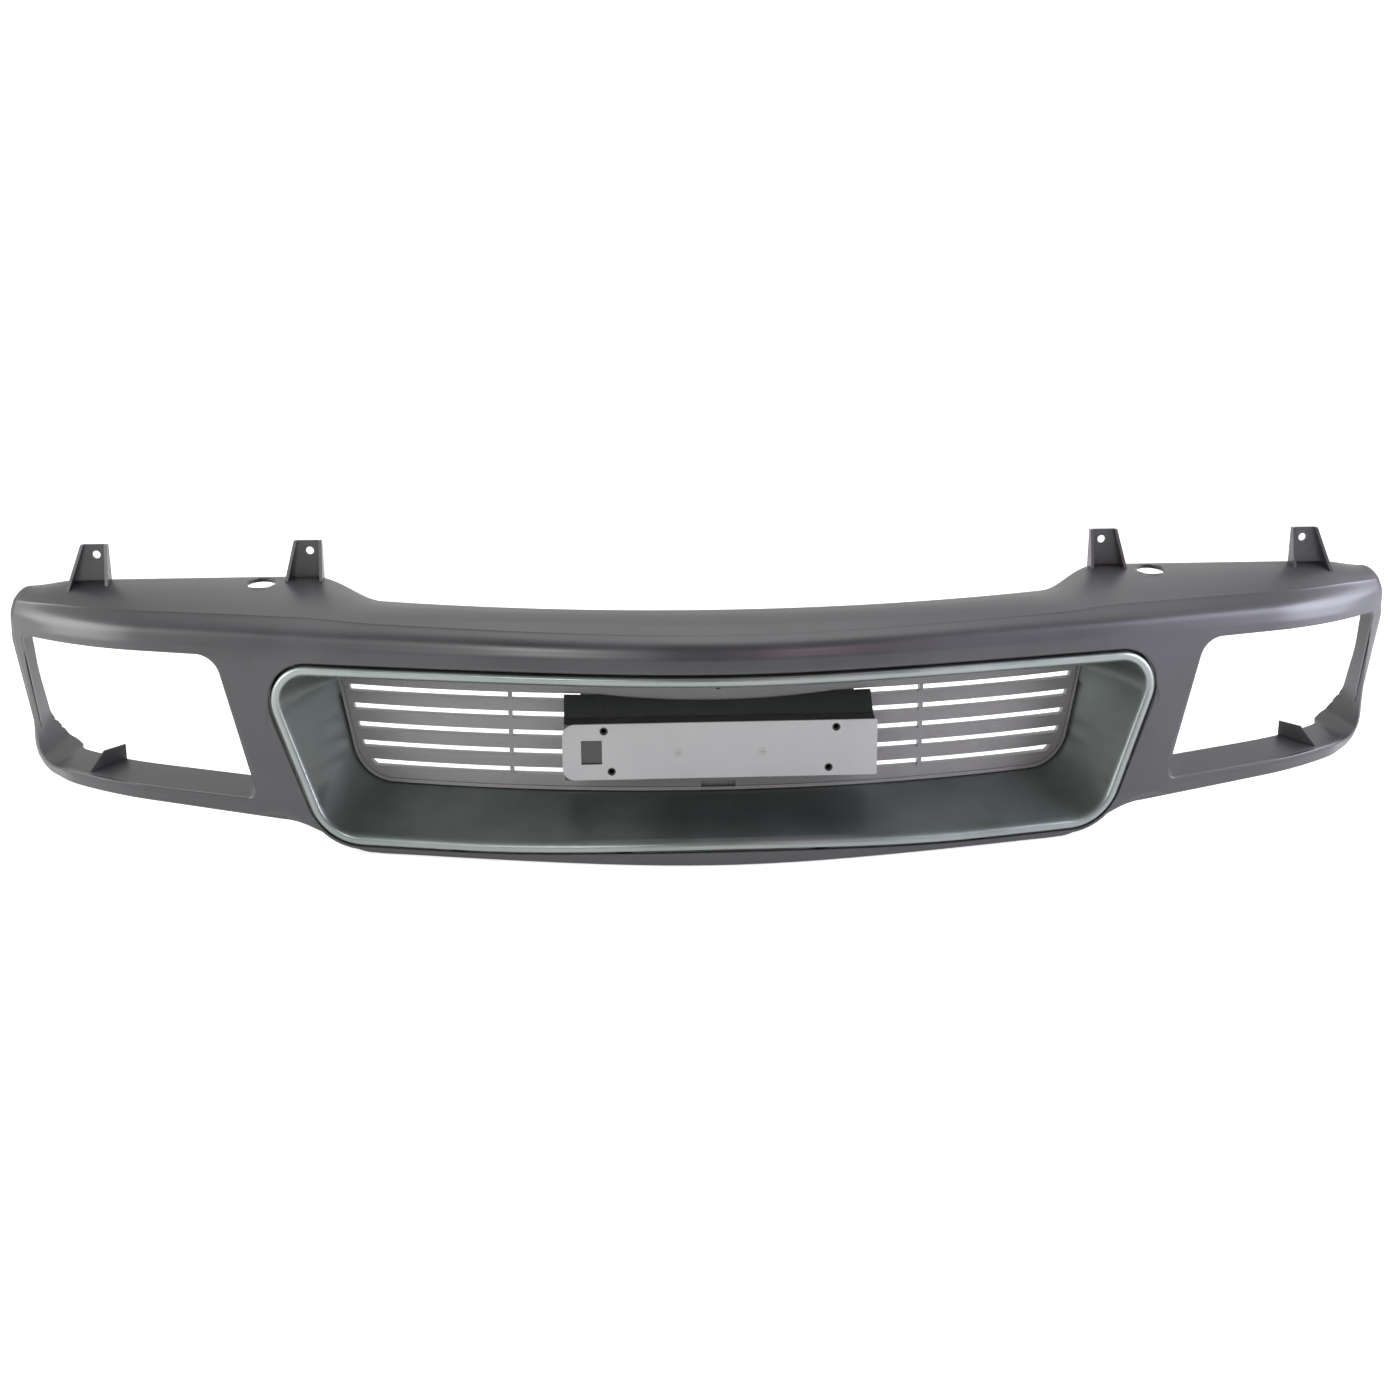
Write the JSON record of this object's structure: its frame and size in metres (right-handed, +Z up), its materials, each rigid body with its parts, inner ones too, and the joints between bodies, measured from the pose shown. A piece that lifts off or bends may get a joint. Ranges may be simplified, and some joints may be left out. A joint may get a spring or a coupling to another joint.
{
  "type": "front header panel",
  "caption": "Car front header panel: one moulded surround for grille and headlamps, with a silver grille bezel, louvre insert and number-plate box.",
  "frame": {"origin": "midway between the two inner mounting-ear holes, on the rear face of the ears, where the panel meets the car's front cross member", "axes": "+X across the car to the right as seen from in front, +Y rearwards into the car (the front faces -Y), +Z up; X = 0 is the plane of symmetry"},
  "size_m": [1.41, 0.229, 0.2848],
  "materials": {
    "panel": "dark grey primed moulding, satin",
    "bezel": "silver-grey paint on plastic, semi-gloss",
    "louvre": "grey painted moulding, satin",
    "box": "black moulding, glossy",
    "plate": "light warm grey moulding, matte",
    "zinc": "zinc-plated steel",
    "nylon": "black nylon, moulded"
  },
  "bodies": {
    "root": {"header_panel": "panel", "grille_bezel": "bezel", "louvre_insert": "louvre", "plate_box": "box", "mounting_plate": "plate", "plate_screws": "zinc", "plate_screw_nuts": "zinc", "plate_nut_inserts": "nylon", "bezel_screws": "zinc", "insert_screws": "zinc", "box_screws": "zinc"}
  },
  "joints": []
}
